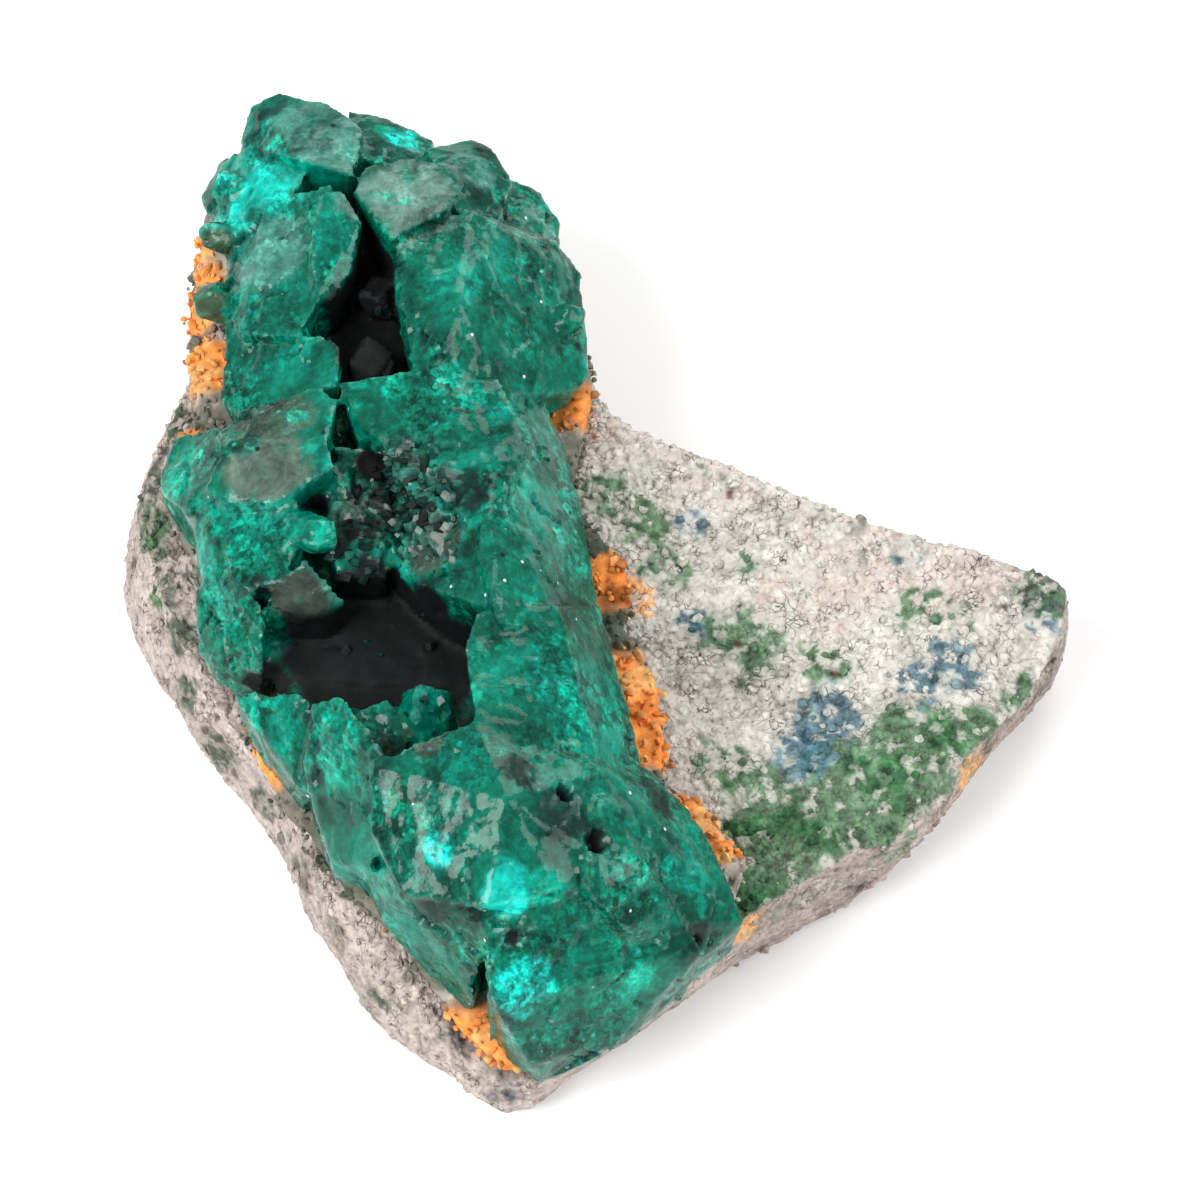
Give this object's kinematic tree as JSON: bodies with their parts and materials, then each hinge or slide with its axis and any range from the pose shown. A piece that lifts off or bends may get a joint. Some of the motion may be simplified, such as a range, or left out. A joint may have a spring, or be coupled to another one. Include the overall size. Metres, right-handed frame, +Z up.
{
  "type": "dioptase specimen",
  "caption": "Dioptase mineral specimen: a ridge of intergrown emerald-green crystals with dark hollows on pale granular rock, with a rusty limonite seam; rests on its flat underside.",
  "frame": {"origin": "middle of the bounding box's underside, on the surface that the specimen rests on", "axes": "+Z up, +Y to the back along the crystal ridge, +X to the right towards the bare wing of the rock"},
  "size_m": [0.0482, 0.0522, 0.018],
  "materials": {
    "matrix": "rough, granular, stained green and blue in patches",
    "limonite": "earthy, crumbly",
    "dioptase": "vitreous, cloudy emerald green"
  },
  "bodies": {
    "root": {"matrix_rock": "matrix", "limonite_seam": "limonite", "dioptase_crystals": "dioptase"}
  },
  "joints": []
}
